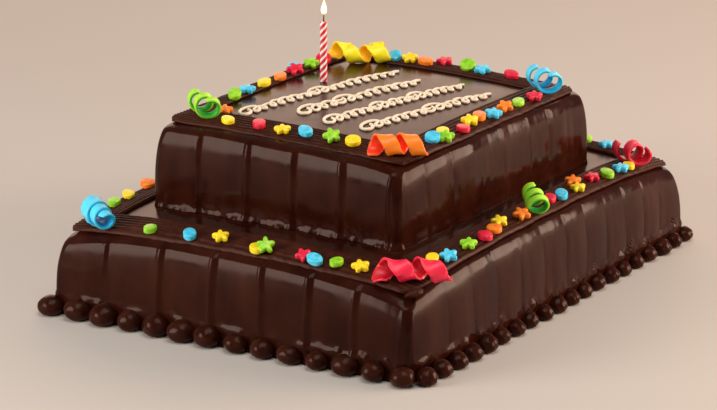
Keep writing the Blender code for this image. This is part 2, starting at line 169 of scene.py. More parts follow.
# where one knife stroke meets the next: place along the side, depth of the step, and the
# height from which it shows if it does not run right down
LOWER_SEAMS = (
    ((-215, 0), (-160, 0.4), (-125, 0.5), (-91, 0.3), (-56, 0.6), (-20, 0.4), (15, 0.5),
     (47, 0.35), (80, 0.5), (112, 0.4), (143, 0.6), (171, 0.4), (215, 0)),
    ((-165, 0), (-118, 1.0), (-70, 1.3), (-24, 1.1), (22, 1.4), (66, 1.0), (111, 1.2), (165, 0)),
    ((-215, 0), (-176, 0.4), (-139, 0.6), (-104, 0.4), (-70, 0.5), (-33, 0.4), (2, 0.6),
     (36, 0.5), (71, 0.4), (106, 0.6), (141, 0.4), (178, 0.5), (215, 0)),
    ((-165, 0), (-116, 1.1, 34), (-66, 1.5), (-18, 1.9), (25, 1.4), (66, 1.8), (107, 1.5),
     (152, 0.9), (165, 0)),
)
# from the foot up: how far the wall has drawn in, and its share of the height
LOWER_WALL = ((0.0, 0.0), (-0.7, 0.12), (-1.0, 0.28), (-0.8, 0.44), (-0.1, 0.60), (1.1, 0.73),
              (2.8, 0.84), (4.7, 0.905), (7.4, 0.945), (12.0, 0.970), (20.0, 0.988), (33.0, 1.0))
CORNER_RADIUS = 5.0
CORNER_STEPS = 9


def turn_to_side(side, along, out):
    """Place a point given along a side and out from the middle: sides run anticlockwise."""
    x, y = along, -out
    for _ in range(side):
        x, y = -y, x
    return x, y


def corner_share(tier, x, y):
    """0 on the middle lines of the top, 1 at its corners."""
    along, away = x - tier["middle"][0], y - tier["middle"][1]
    return abs(along * away / (tier["lip"][0] * tier["lip"][1])) ** 3


def corner_near(tier, x, y):
    """1 at the front left corner, fading out along both sides."""
    along = x - tier["middle"][0] + tier["foot"][0]
    away = (tier["middle"][1] - y) / tier["foot"][1]
    return math.exp(-max(along, 0) / 50) * min(max((away - 0.55) / 0.4, 0), 1) ** 2


def draw_in(tier, x, y, share):
    """The front left corner is drawn in: its front face stands a little further back."""
    low, high, _ = tier["corner_cut"]
    return y + (low + (high - low) * share) * corner_near(tier, x, y)


def top_height(tier, x, y):
    """The iced top: a little lower at the sides, sagging at the corners."""
    along, away = x - tier["middle"][0], y - tier["middle"][1]
    sides = (along / tier["lip"][0]) ** 2 + (away / tier["lip"][1]) ** 2
    slope = tier["tilt"][0] * along + tier["tilt"][1] * away
    sag = tier["side_sag"] * sides + tier["corner_sag"] * corner_share(tier, x, y)
    return tier["top"] + slope - sag - tier["corner_cut"][2] * corner_near(tier, x, y) ** 2


def noise_at(x, y, z, scale, seed=0.0):
    """Smooth noise between about -1 and 1; scale is the size of its lumps."""
    return noise.noise(Vector((x / scale + seed, y / scale - seed, z / scale + 2 * seed)))


def curve_through(points, steps):
    """Points spread evenly along a smooth curve through the given ones."""
    found = []
    for k in range(steps + 1):
        place = k / steps * (len(points) - 1)
        i = min(int(place), len(points) - 2)
        t = place - i
        a, b = points[max(i - 1, 0)], points[i]
        c, d = points[i + 1], points[min(i + 2, len(points) - 1)]
        found.append(tuple(
            0.5 * (2 * q + (r - p) * t + (2 * p - 5 * q + 4 * r - s) * t * t
                   + (3 * q - p - 3 * r + s) * t ** 3) for p, q, r, s in zip(a, b, c, d)))
    return found


STEP_START = 8.0
CRISP_STEP, CRISP_FALL, SOFT_FALL = 0.8, 5.5, 13.0
RIDGE_WIDTH = 0.9
LEAN_HEIGHT = 36.0


def stroke_relief(seams, along, height):
    """How far the glaze stands out across knife strokes: rising, a ridge, then a step."""
    along += 1.6 * noise_at(along, height, 3.0, 26.0) + 0.5 * noise_at(along, height, 8.0, 9.0)
    k = min(max(bisect.bisect([s[0] for s in seams], along) - 1, 0), len(seams) - 2)
    (first, deep, *low), (last, next_deep, *next_low) = seams[k], seams[k + 1]
    for step_low in low:
        deep *= min(max((height - step_low) / STEP_START, 0), 1)
    for step_low in next_low:
        next_deep *= min(max((height - step_low) / STEP_START, 0), 1)
    share = min(max((along - first) / (last - first), 0), 1)
    crisp = max(deep, next_deep) > CRISP_STEP
    ease = min(max((along - first) / (CRISP_FALL if crisp else SOFT_FALL), 0), 1)
    fall = 1 - ease * ease * (3 - 2 * ease)
    rise = 0.95 * next_deep * share ** 2.2 + 1.4 * deep * fall
    ridge = 0.45 * next_deep * math.exp(-((last - along) / RIDGE_WIDTH) ** 2) if crisp else 0.0
    middle = math.sin(math.pi * share)
    lean = noise_at(3.1 * first, last, 0, 10.0) * (height / LEAN_HEIGHT - 1) * math.sqrt(middle)
    return rise + ridge + (0.5 if crisp else 0.9) * middle + 1.1 * lean - 0.6


def bare_object(name, points, faces, edges=()):
    """A smooth mesh object, given in millimetres, with its place in its mesh."""
    mesh = bpy.data.meshes.new(name)
    mesh.from_pydata([(x * MM, y * MM, z * MM) for x, y, z in points], edges, faces)
    mesh.shade_smooth()
    made = bpy.data.objects.new(name, mesh)
    bpy.context.scene.collection.objects.link(made)
    return made


def keep_piece(piece, slot, *nodes):
    """Let a finished piece ride on the cake and hide the nodes it stands for; its slot is not used."""
    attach(piece, "root")
    if nodes:
        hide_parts(*nodes)


def piece_from(name, points, faces, finish, slot, *nodes, turn_out=False):
    """A finished mesh piece. turn_out makes the faces of a closed mesh point outwards."""
    piece = bare_object(name, points, faces)
    piece.data.materials.append(finish)
    if turn_out:
        shape = bmesh.new()
        shape.from_mesh(piece.data)
        bmesh.ops.recalc_face_normals(shape, faces=shape.faces)
        shape.to_mesh(piece.data)
        shape.free()
    keep_piece(piece, slot, *nodes)
    return piece


def ring_faces(rings, count, first=0):
    """Quads between closed rings of points that follow one another."""
    faces = []
    for low in range(first, first + (rings - 1) * count, count):
        for k in range(count):
            n = (k + 1) % count
            faces.append((low + k, low + n, low + count + n, low + count + k))
    return faces


def tube_faces(rings, count, first=0):
    """Rings of quads with a flat end at both sides."""
    last = first + (rings - 1) * count
    ends = [tuple(range(first + count - 1, first - 1, -1)), tuple(range(last, last + count))]
    return ring_faces(rings, count, first) + ends


def round_faces(rings, count):
    """Rings of quads that close in a single point at both sides, the first and last of all."""
    last = 1 + (rings - 1) * count
    faces = [(0, 1 + (k + 1) % count, 1 + k) for k in range(count)] + ring_faces(rings, count, 1)
    return faces + [(last + k, last + (k + 1) % count, last + count) for k in range(count)]


def wall_columns(tier, spacing):
    """Side, share along it and turn round the corner of every upright line of points."""
    columns = []
    for side in range(4):
        half = tier["foot"][side % 2]
        count = round(2 * (half - CORNER_RADIUS) / spacing)
        columns += [(side, k / count, 0.0) for k in range(count + 1)]
        columns += [(side, 1.0, k / CORNER_STEPS) for k in range(1, CORNER_STEPS)]
    return columns


def outline(tier, column, inset):
    """A point of the outline, how far along its side it is, and the way out there."""
    side, share, turn = column
    half = tier["foot"][side % 2] - inset
    out = tier["foot"][1 - side % 2] - inset
    radius = min(CORNER_RADIUS + 0.5 * max(inset, 0), 0.8 * min(half, out))
    along = (2 * share - 1) * (half - radius)
    angle = math.radians(90) * turn
    flat_x = along + radius * math.sin(angle)
    flat_y = out - radius + radius * math.cos(angle)
    x, y = turn_to_side(side, flat_x, flat_y)
    nx, ny = turn_to_side(side, math.sin(angle), math.cos(angle))
    return x + tier["middle"][0], y + tier["middle"][1], flat_x, nx, ny


# how far in from the foot the glaze is plain, and where the knife strokes start to run out
SHOULDER_END = 33.0
STROKE_END = 12.0


def iced_tier(tier, wall, wall_rows, seams, spacing, top_insets, base, smears, finish):
    """One closed skin of glaze: underside, worked walls, rolled shoulder and top."""
    columns = wall_columns(tier, spacing)
    points = []
    for inset, share in curve_through(wall, wall_rows):
        fade = min(1.0, (SHOULDER_END - inset) / 22.0)
        stroke_fade = min(1.0, max(0.0, (STROKE_END - inset) / 8.0))
        for column in columns:
            side = column[0]
            x, y, along, nx, ny = outline(tier, column, inset)
            low = base(x, y)
            z = low + share * (top_height(tier, x, y) - low)
            z -= 0.8 * max(tier["droops"][side] - 4, 0) * math.exp(-((share - 0.94) / 0.05) ** 2)
            relief = stroke_fade * stroke_relief(seams[side], along, z)
            relief += 0.45 * fade * noise_at(x, y, z * 0.5, 34.0)
            relief += 0.10 * fade * noise_at(x, y, z * 0.3, 7.0, 5.0)
            relief += fade * smears(side, along, z - low)
            points.append((x + nx * relief, draw_in(tier, x, y, share) + ny * relief, z))
    for inset in top_insets:
        for column in columns:
            x, y, *_ = outline(tier, column, inset)
            z = top_height(tier, x, y) + 0.10 * noise_at(x, y, 0, 46.0)
            points.append((x, draw_in(tier, x, y, 1), z))
    count = len(columns)
    faces = ring_faces(len(points) // count, count)
    last = len(points) - count
    mx, my = tier["middle"]
    points += [(mx, my, base(mx, my)), (mx, my, top_height(tier, mx, my))]
    for k in range(count):
        n = (k + 1) % count
        faces += [(n, k, len(points) - 2), (last + k, last + n, len(points) - 1)]
    name = tier["name"]
    piece_from(name + "_tier_glaze", points, faces, finish, name + "_icing", name + "_tier")


def add_sockets(tree, inputs, outputs):
    """Give a node group its sockets, as name, kind and default, and return both ends' own."""
    for way, rows in (("INPUT", inputs), ("OUTPUT", outputs)):
        for label, kind, *default in rows:
            socket = tree.interface.new_socket(label, in_out=way, socket_type="NodeSocket" + kind)
            for value in default:
                socket.default_value = value
    return tree.nodes.new("NodeGroupInput").outputs, tree.nodes.new("NodeGroupOutput").inputs


def calculate(tree, operation, *values):
    """A Math node. Each value is a socket or a plain number."""
    return add_node(tree, "ShaderNodeMath", enumerate(values), operation=operation).outputs[0]


# Knife-worked glaze: long soft streaks, finer scratches, and cloudy lighter smears.
streak_tree = bpy.data.node_groups.new("worked_glaze", "ShaderNodeTree")
streak_in, streak_out = add_sockets(
    streak_tree,
    (("Streak Size", "Float", 60.0), ("Upright", "Float", 0.12), ("Cloud Size", "Float", 26.0)),
    (("Streaks", "Float"), ("Scratches", "Float"), ("Clouds", "Float")))
streak_place = add_node(streak_tree, "ShaderNodeTexCoord").outputs["Object"]
streak_x, streak_y, streak_z = add_node(streak_tree, "ShaderNodeSeparateXYZ", {0: streak_place}).outputs
streak_z = calculate(streak_tree, "MULTIPLY", streak_z, streak_in["Upright"])
streak_way = add_node(streak_tree, "ShaderNodeCombineXYZ", {"X": streak_x, "Y": streak_y, "Z": streak_z})
for label, factor, detail in (("Streaks", 1.0, 3.0), ("Scratches", 9.0, 2.0)):
    texture = add_node(streak_tree, "ShaderNodeTexNoise", {
        "Vector": streak_way.outputs[0], "Detail": detail,
        "Scale": calculate(streak_tree, "MULTIPLY", streak_in["Streak Size"], factor)})
    streak_tree.links.new(texture.outputs["Fac"], streak_out[label])
cloud = add_node(streak_tree, "ShaderNodeTexNoise", {
    "Vector": streak_place, "Scale": streak_in["Cloud Size"], "Detail": 5.0, "Distortion": 0.6})
streak_tree.links.new(cloud.outputs["Fac"], streak_out["Clouds"])


def glaze_finish(name, dark, light, rough, streak_size, upright, cloud_size, bump):
    """Set chocolate glaze: dark and glossy, cloudier and duller where it was smeared."""
    made, tree, shader = new_finish(name, dark, 0.3)
    shader.inputs["IOR"].default_value = 1.45
    shader.inputs["Specular IOR Level"].default_value = 0.13
    shader.inputs["Specular Tint"].default_value = (1.0, 0.80, 0.70, 1.0)
    streaks, scratches, clouds = add_node(tree, "ShaderNodeGroup", {
        "Streak Size": streak_size, "Upright": upright, "Cloud Size": cloud_size},
        node_tree=streak_tree).outputs
    mixed = calculate(tree, "MULTIPLY_ADD", streaks, 0.55, calculate(tree, "MULTIPLY", clouds, 0.5))
    # 1 where the glaze lies level, as the knife left it smooth there; 0 on the walls
    facing = add_node(tree, "ShaderNodeTexCoord").outputs["Normal"]
    up = add_node(tree, "ShaderNodeSeparateXYZ", {0: facing}).outputs["Z"]
    level = calculate(tree, "SMOOTH_MAX", calculate(tree, "MULTIPLY_ADD", up, 10.0, -8.9), 0.0, 0.1)
    spread = calculate(tree, "MULTIPLY_ADD", clouds, 0.30, rough - 0.15)
    spread = calculate(tree, "MULTIPLY_ADD", level, 0.06, spread)
    spread = calculate(tree, "MULTIPLY_ADD", scratches, 0.06, spread)
    height = calculate(tree, "MULTIPLY_ADD", scratches, 0.08, streaks)
    height = calculate(tree, "MULTIPLY_ADD", clouds, 0.5, height)
    height = calculate(tree, "MULTIPLY", height, calculate(tree, "MULTIPLY_ADD", level, -0.985, 1.0))
    dress(tree, shader, ramp(tree, mixed, ((0.36, dark), (0.72, light))), spread, height, bump, 1.2)
    return made


LEDGE_HEIGHT = 15.5


def lower_smears(side, along, height):
    """Glaze pushed up into a ragged ledge where the beads were pressed against it."""
    over = height - LEDGE_HEIGHT - 2.5 * noise_at(along, 0, 0, 12.0, 3.0 + side)
    lumps = 0.9 + 2.4 * noise_at(along, height, 0, 9.0, 4.0 + side)
    shape = math.exp(-(over / (1.6 if over > 0 else 5.0)) ** 2)
    return 1.5 * shape * max(lumps, 0.0)


lower_glaze = glaze_finish("lower_glaze", (0.0165, 0.0027, 0.0010), (0.036, 0.0078, 0.0034), 0.13,
                           60.0, 0.10, 26.0, 0.18)
LOWER_TOP_INSETS = (36, 39, 42, 45, 48, 51, 54, 57, 60, 63, 66, 69, 72, 80, 100, 130, 158)
iced_tier(LOWER, LOWER_WALL, 46, LOWER_SEAMS, 1.35, LOWER_TOP_INSETS, lambda x, y: 0.0,
          lower_smears, lower_glaze)

# ------------------------------------------------------------------------ upper tier
# The second tier sits straight on the first. Its glaze runs down on to the lower top; on
# the left it was wiped there in short wedges, so that foot is ragged and catches the light.

UPPER = {
    "name": "upper", "middle": (-1, 2), "foot": (143.5, 116.5), "lip": (129, 108),
    "top": 145.3, "side_sag": 3, "corner_sag": 0, "tilt": (-0.003, 0.018),
    "droops": (2.5, 2, 3, 2.5), "corner_cut": (8.5, 8.5, 2.5),
}
UPPER_SEAMS = (
    ((-145, 0), (-105, 0.6), (-70, 0.45), (-29, 0.7), (5, 0.45), (44, 0.6), (75, 0.45),
     (104, 0.6), (145, 0)),
    ((-118, 0), (-76, 1.1), (-33, 1.3), (9, 1.0), (52, 1.2), (88, 0.9), (118, 0)),
    ((-145, 0), (-108, 0.6), (-72, 0.45), (-36, 0.7), (0, 0.5), (37, 0.6), (72, 0.7),
     (108, 0.45), (145, 0)),
    ((-118, 0), (-74, 1.3), (-29, 1.5), (12, 1.3), (54, 1.4), (102, 1.1), (118, 0)),
)
UPPER_WALL = ((2.0, 0.0), (1.7, 0.12), (1.6, 0.30), (1.8, 0.47), (2.4, 0.62), (3.3, 0.75),
              (4.5, 0.85), (6.1, 0.918), (8.9, 0.956), (13.5, 0.977), (21.0, 0.99), (33.0, 1.0))


FOOT_SINK = 0.3
WEDGE_PLACE = 9.0


def upper_base(x, y):
    """Where the upper tier stands: pressed a little into the lower top."""
    return top_height(LOWER, x, y) - FOOT_SINK


def upper_smears(side, along, height):
    """Glaze wiped out at the foot; on the left in ragged wedges, wider where two strokes meet."""
    rough = 1.0 if SIDES[side] == "left" else 0.0
    reach = 1.2 + (0.6 + 2.0 * rough) * noise_at(along, 0, 0, 17.0, 7.0 + side)
    reach += 1.4 * rough * noise_at(along, 0, 0, 5.0, 1.0 + side)
    seam = min(abs(along - s[0] + WEDGE_PLACE) for s in UPPER_SEAMS[side])
    reach = max(reach, 0.0) + 2.6 * rough * math.exp(-(seam / 9.0) ** 2)
    low = math.exp(-(height / 3.0) ** 2)
    drag = rough * math.exp(-((height - 7.0) / 3.0) ** 2)
    return low * reach + 1.3 * drag * max(noise_at(along, height, 0, 6.5, 2.0 + side), 0.0)


upper_glaze = glaze_finish("upper_glaze", (0.0160, 0.0026, 0.0010), (0.035, 0.0074, 0.0032), 0.12,
                           55.0, 0.16, 45.0, 0.24)
UPPER_TOP_INSETS = (36, 40, 44, 48, 52, 57, 62, 67, 72, 77, 82, 87, 92, 97, 102, 107, 112, 115.5)
iced_tier(UPPER, UPPER_WALL, 44, UPPER_SEAMS, 1.3, UPPER_TOP_INSETS, upper_base,
          upper_smears, upper_glaze)

# --------------------------------------------------------------------- ribbed ribbons
# A flat ribbon of stiffer chocolate icing, piped through a ribbed tip along each top edge.
# The two left ribbons run over both corners, and each other one butts against the one
# before it. The outer lip hangs a little over the wall and wanders in and out.

RIBBON_WIDTH = 28.0
RIBBON_THICK = 2.2
RIBBON_LIFT = 0.8
RIB_COUNT = 7
STEPS_A_RIB = 8
BUTT_GAP = 0.2
STEP_ALONG = 1.6
# whether the ribbons of the front, right, back and left run over their two corners
FULL_ENDS = ((False, True), (False, True), (False, False), (True, True))
LIP_ROUND = 9.0
DROP_PLACES = ((0.0, 1.0), (7.0, 0.36), (21.0, 0.0))


def lip_insets(tier, x, y):
    """How far in a place lies from the lip on each of the four sides."""
    along, away = x - tier["middle"][0], y - tier["middle"][1]
    lip = tier["lip"]
    return (lip[1] + away, lip[0] - along, lip[1] - away, lip[0] + along)


def ribbon_under(tier, x, y):
    """Underside of a ribbon: just clear of the top, drooping towards the lip."""
    insets = lip_insets(tier, x, y)
    inset = min(max(min(insets), 0.0), DROP_PLACES[-1][0])
    droop = tier["droops"][insets.index(min(insets))] * max(1 - corner_share(tier, x, y), 0)
    for (low, high_share), (high, low_share) in zip(DROP_PLACES, DROP_PLACES[1:]):
        if low <= inset <= high:
            share = high_share + (inset - low) / (high - low) * (low_share - high_share)
    return top_height(tier, x, y) - droop * share + RIBBON_LIFT


def ribbon_section():
    """Across a ribbon: place from the lip, height share, rib depth. Top, then underside."""
    top = []
    steps = RIB_COUNT * STEPS_A_RIB
    for k in range(steps + 1):
        share = k / steps
        edge = min(share, 1 - share) * RIBBON_WIDTH
        rib = 0.5 - 0.5 * math.cos(2 * math.pi * RIB_COUNT * share)
        height = math.sqrt(max(1 - max(1 - edge / 1.4, 0.0) ** 2, 0.0))
        top.append((share * RIBBON_WIDTH, height, rib))
    under = ((27.8, -0.35), (26.5, -0.5), (20.0, -0.5), (13.0, -0.5), (7.0, -0.5), (3.0, -0.5),
             (1.2, -0.42), (0.25, -0.2))
    return top + [(place, height, 0.0) for place, height in under]


def round_corner(tier, x, y):
    """Pull a point near a corner of the lip inside a quarter circle, and say how far in."""
    along, away = x - tier["middle"][0], y - tier["middle"][1]
    u = LIP_ROUND - tier["lip"][0] + abs(along)
    v = LIP_ROUND - tier["lip"][1] + abs(away)
    if u <= 0 or v <= 0:
        return x, y, 0.0
    reach = math.hypot(u, v)
    widest = max(u, v) / reach
    out = min(reach * widest / LIP_ROUND, 1.3)
    keep = 1 - (1 - widest) * out * out
    x -= math.copysign(u * (1 - keep), along)
    y -= math.copysign(v * (1 - keep), away)
    return x, y, min(u, v) / LIP_ROUND


def ribbon_piece(tier, side, full_start, full_stop, finish):
    """One piped ribbon along a side of a tier."""
    length, out = tier["lip"] if side % 2 == 0 else (tier["lip"][1], tier["lip"][0])
    start = -length + (0 if full_start else RIBBON_WIDTH + BUTT_GAP)
    stop = length - (0 if full_stop else RIBBON_WIDTH + BUTT_GAP)
    narrow = 0.70 if tier is UPPER and side == 2 else 1.0
    section = ribbon_section()
    steps = round((stop - start) / STEP_ALONG)
    seed = side * 7.0 + (50 if tier is UPPER else 0)
    points = []
    for k in range(steps + 1):
        along = start + (stop - start) * k / steps
        end = min(along - start, stop - along)
        wander = 1.0 * noise_at(along, seed, 0, 27.0) + 0.55 * noise_at(along, seed, 9, 7.0)
        heave = 0.6 * noise_at(along, seed, 4, 15.0)
        torn = 0.35 * noise_at(along, seed, 2, 3.0)
        for place, height, rib in section:
            ragged = 0.9 * noise_at(place, seed, along, 5.0) * math.exp(-end / 1.5)
            share = 1 - place / RIBBON_WIDTH
            inset = place * narrow - (wander + torn * share ** 4) * (0.3 + 0.7 * share)
            x, y = turn_to_side(side, along + ragged, out - inset)
            x, y = x + tier["middle"][0], y + tier["middle"][1]
            x, y, corner = round_corner(tier, x, y)
            y = draw_in(tier, x, y, 1)
            depth = 1.15 * (rib - 1.0) * max(height, 0.0)
            rough = 0.16 * noise_at(along, place * 3.0, seed, 2.4)
            z = ribbon_under(tier, x, y) + RIBBON_THICK * height + depth
            z += (heave * share + rough) * max(height, 0.2) - 1.2 * corner ** 1.5
            points.append((x, y, z))
    name = tier["name"] + "_ribbon_"
    piece_from(name + SIDES[side] + "_ribbed", points, tube_faces(steps + 1, len(section)),
               finish, name + "icing", name + SIDES[side], turn_out=True)


ribbon_finish = glaze_finish("ribbon_icing", (0.026, 0.0053, 0.0023), (0.060, 0.0150, 0.0078), 0.36,
                             140.0, 1.0, 40.0, 0.25)
for tier in (LOWER, UPPER):
    for side, (full_start, full_stop) in enumerate(FULL_ENDS):
        ribbon_piece(tier, side, full_start, full_stop, ribbon_finish)

# ------------------------------------------------------------------------ bead border
# Chocolate beads piped one after the other round the foot. Each was squeezed out and the
# tip pulled away, which leaves a soft peak; on the long sides the tip also left small
# ribbed fans of icing on the wall, here and there above the beads.

BEAD_LINE = 3.4
# side, how many beads, the first and last place along it, radius, whether ribbed
BEAD_ROWS = (("front", 20, -201, 211, 7.9, True), ("right", 14, -151, 152, 8.2, False),
             ("back", 20, -197, 211, 7.9, True), ("left", 14, -162, 150, 10.0, False))

repeat_tree = bpy.data.node_groups.new("repeat_on_points", "GeometryNodeTree")
repeat_in, repeat_out = add_sockets(
    repeat_tree,
    (("Places", "Geometry"), ("Shape", "Object"), ("Least Size", "Float", 0.92),
     ("Greatest Size", "Float", 1.08), ("Wobble", "Float", 0.1), ("Seed", "Int", 1),
     ("Finish", "Material")), (("Pieces", "Geometry"),))
repeat_turn, repeat_size = (
    add_node(repeat_tree, "GeometryNodeInputNamedAttribute", {"Name": label},
             data_type="FLOAT_VECTOR").outputs["Attribute"] for label in ("turn", "size"))
repeat_low, repeat_high = (
    add_node(repeat_tree, "ShaderNodeVectorMath", {0: (way, way, way), "Scale": repeat_in["Wobble"]},
             operation="SCALE").outputs["Vector"] for way in (-1, 1))
repeat_wobble = add_node(repeat_tree, "FunctionNodeRandomValue", {
    0: repeat_low, 1: repeat_high, "Seed": repeat_in["Seed"]}, data_type="FLOAT_VECTOR")
repeat_random = add_node(repeat_tree, "FunctionNodeRandomValue", {
    2: repeat_in["Least Size"], 3: repeat_in["Greatest Size"], "Seed": repeat_in["Seed"]},
    data_type="FLOAT")
repeat_sum = add_node(repeat_tree, "ShaderNodeVectorMath", {
    0: repeat_turn, 1: repeat_wobble.outputs[0]}, operation="ADD")
repeat_scale = add_node(repeat_tree, "ShaderNodeVectorMath", {
    0: repeat_size, "Scale": repeat_random.outputs[1]}, operation="SCALE")
repeat_shape = add_node(repeat_tree, "GeometryNodeObjectInfo", {"Object": repeat_in["Shape"]})
repeat_copy = add_node(repeat_tree, "GeometryNodeInstanceOnPoints", {
    "Points": repeat_in["Places"], "Instance": repeat_shape.outputs["Geometry"],
    "Rotation": repeat_sum.outputs["Vector"], "Scale": repeat_scale.outputs["Vector"]})


def end_tree(tree, geometry, finish, result):
    """End a Geometry Nodes tree: make what it holds real and give it its finish."""
    real = add_node(tree, "GeometryNodeRealizeInstances", {"Geometry": geometry})
    paint = add_node(tree, "GeometryNodeSetMaterial", {
        "Geometry": real.outputs["Geometry"], "Material": finish})
    tree.links.new(paint.outputs["Geometry"], result)


end_tree(repeat_tree, repeat_copy.outputs["Instances"], repeat_in["Finish"], repeat_out["Pieces"])


def run_nodes(carrier, tree, values, name, slot, *nodes):
    """Run a Geometry Nodes tree on an object and keep the result as a plain mesh piece."""
    modifier = carrier.modifiers.new("make", "NODES")
    modifier.node_group = tree
    for item in tree.interface.items_tree:
        if item.item_type == "SOCKET" and item.in_out == "INPUT" and item.name in values:
            modifier[item.identifier] = values[item.name]
    carrier.update_tag()
    bpy.context.view_layer.update()
    evaluated = carrier.evaluated_get(bpy.context.evaluated_depsgraph_get())
    mesh = bpy.data.meshes.new_from_object(evaluated)
    mesh.name = name
    mesh.shade_smooth()
    bpy.data.objects.remove(carrier)
    piece = bpy.data.objects.new(name, mesh)
    bpy.context.scene.collection.objects.link(piece)
    keep_piece(piece, slot, *nodes)


def repeat_shape_at(name, shape, places, finish, slot, *nodes, sizes=(0.94, 1.06), wobble=0.05,
                    seed=1):
    """Copy a shape to places given as point, turn and size, as one mesh."""
    carrier = bare_object(name + "_places", [p[0] for p in places], [])
    for label, k in (("turn", 1), ("size", 2)):
        data = carrier.data.attributes.new(label, "FLOAT_VECTOR", "POINT").data
        for item, place in zip(data, places):
            item.vector = place[k]
    values = {"Shape": shape, "Least Size": sizes[0], "Greatest Size": sizes[1],
              "Wobble": wobble, "Seed": seed, "Finish": finish}
    run_nodes(carrier, repeat_tree, values, name, slot, *nodes)


BEAD_FLAT = -0.82
PEAK_LEAN = 0.55


def bead_shape(name, ribs, rib_depth, peak):
    """A piped bead of radius 1 (in mm): flat below, ribbed round, a soft peak on top."""
    around, rows = 32, 14
    points = [(0, 0, BEAD_FLAT)]
    for row in range(1, rows):
        polar = math.pi * (1 - row / rows)
        for k in range(around):
            angle = 2 * math.pi * k / around
            rib = 0.5 - 0.5 * math.cos(ribs * (angle + 0.5 * math.cos(polar)))
            groove = 1 - rib_depth * math.sin(polar) ** 2 * rib
            r = math.sin(polar) ** 0.9 * groove
            z = math.cos(polar)
            lift = peak * max(z - 0.72, 0) ** 1.4 * 4
            points.append((r * math.cos(angle) + PEAK_LEAN * lift, r * math.sin(angle),
                           max(0.86 * z, BEAD_FLAT) + lift))
    points.append((PEAK_LEAN * peak * 0.7, 0, 0.86 + peak * 0.72))
    return bare_object(name, points, round_faces(rows - 1, around))


bead_finish = glaze_finish("bead_glaze", (0.020, 0.0037, 0.0015), (0.042, 0.0100, 0.0048), 0.17,
                           120.0, 1.0, 90.0, 0.30)
plain_bead = bead_shape("plain_bead", 5, 0.07, 0.14)
ribbed_bead = bead_shape("ribbed_bead", 9, 0.12, 0.26)


def bead_places(side, count, first, last, radius):
    """Centres, turns and sizes of the beads of one side."""
    rng = random.Random(60 + side)
    out = LOWER["foot"][1 - side % 2] + BEAD_LINE
    places = []
    for k in range(count):
        share = k / (count - 1)
        r = radius * rng.uniform(0.91, 1.06) * (1.03 - 0.06 * share)
        along = first + share * (last - first) + rng.uniform(-0.8, 0.8)
        x, y = turn_to_side(side, along, out + rng.uniform(-0.7, 0.7))
        turn = (rng.uniform(-0.15, 0.15), rng.uniform(-0.15, 0.15),
                side * math.pi / 2 + rng.uniform(-0.5, 0.5))
        size = (r * rng.uniform(1.0, 1.14), r * rng.uniform(1.0, 1.08), r * rng.uniform(0.84, 0.94))
        places.append(((x, y, 0.80 * size[2]), turn, size))
    return places


for name, count, first, last, radius, ribbed in BEAD_ROWS:
    side = SIDES.index(name)
    repeat_shape_at("beads_" + name + "_piped", ribbed_bead if ribbed else plain_bead,
                    bead_places(side, count, first, last, radius), bead_finish, "bead_icing",
                    "beads_" + name, seed=11 + side)
for shape in (plain_bead, ribbed_bead):
    bpy.data.objects.remove(shape)

# Drag marks: where the ribbed tip was wiped off against the wall it left a fan of fine
# ridges, leaning the way the hand moved. They stand on the long sides, above the beads.

FAN_ANGLE, FAN_SPREAD = 152, 6
RIDGE_WIDE, RIDGE_RISE = 1.5, 1.8
DRAG_FIRST = {"front": 62.0, "back": -178.0}
DRAG_LAST = 205
DRAG_STEPS = (34.0, 41.0, 62.0)
DRAG_HEIGHT = 12.5


def drag_fan(name, ridges, length):
    """A fan of tapering ridges, one above the other, lying on a wall that faces -Y."""
    rows, around = 9, 8
    points, faces = [], []
    for k in range(ridges):
        angle = math.radians(FAN_ANGLE - FAN_SPREAD * k)
        reach = length * (1 - 0.10 * abs(k - 1.2))
        faces += tube_faces(rows, around, len(points))
        for row in range(rows):
            t = row / (rows - 1)
            bend = angle + 0.30 * t
            width = RIDGE_WIDE * math.sin(math.pi * min(0.12 + 0.88 * t, 0.95)) ** 0.7
            x, z = reach * t * math.cos(bend), reach * t * math.sin(bend) + RIDGE_RISE * k
            for side in range(around):
                turn = 2 * math.pi * side / around
                across = width * math.cos(turn)
                points.append((x - across * math.sin(bend), -0.34 * width * math.sin(turn),
                               z + across * math.cos(bend)))
    return bare_object(name, points, faces)


def drag_places(side, wall_height):
    """Places on a long side's wall, two or three beads apart."""
    rng = random.Random(90 + side)
    places = []
    along = DRAG_FIRST[SIDES[side]]
    while along < DRAG_LAST:
        out = LOWER["foot"][1] + 1.1 + rng.uniform(-0.1, 0.2)
        x, y = turn_to_side(side, along, out)
        y = draw_in(LOWER, x, y, 0.2)
        size = rng.uniform(0.8, 1.15)
        places.append(((x, y, wall_height + rng.uniform(-1.5, 1.5)),
                       (0, rng.uniform(-0.2, 0.3), side * math.pi / 2), (size, 1.0, size)))
        along += rng.choice(DRAG_STEPS)
    return places


fan = drag_fan("ribbed_fan", 4, 11.0)
for side in (0, 2):
    repeat_shape_at("drag_marks_" + SIDES[side], fan, drag_places(side, DRAG_HEIGHT), bead_finish,
                    "bead_icing", sizes=(0.95, 1.05), wobble=0.03, seed=21 + side)
bpy.data.objects.remove(fan)

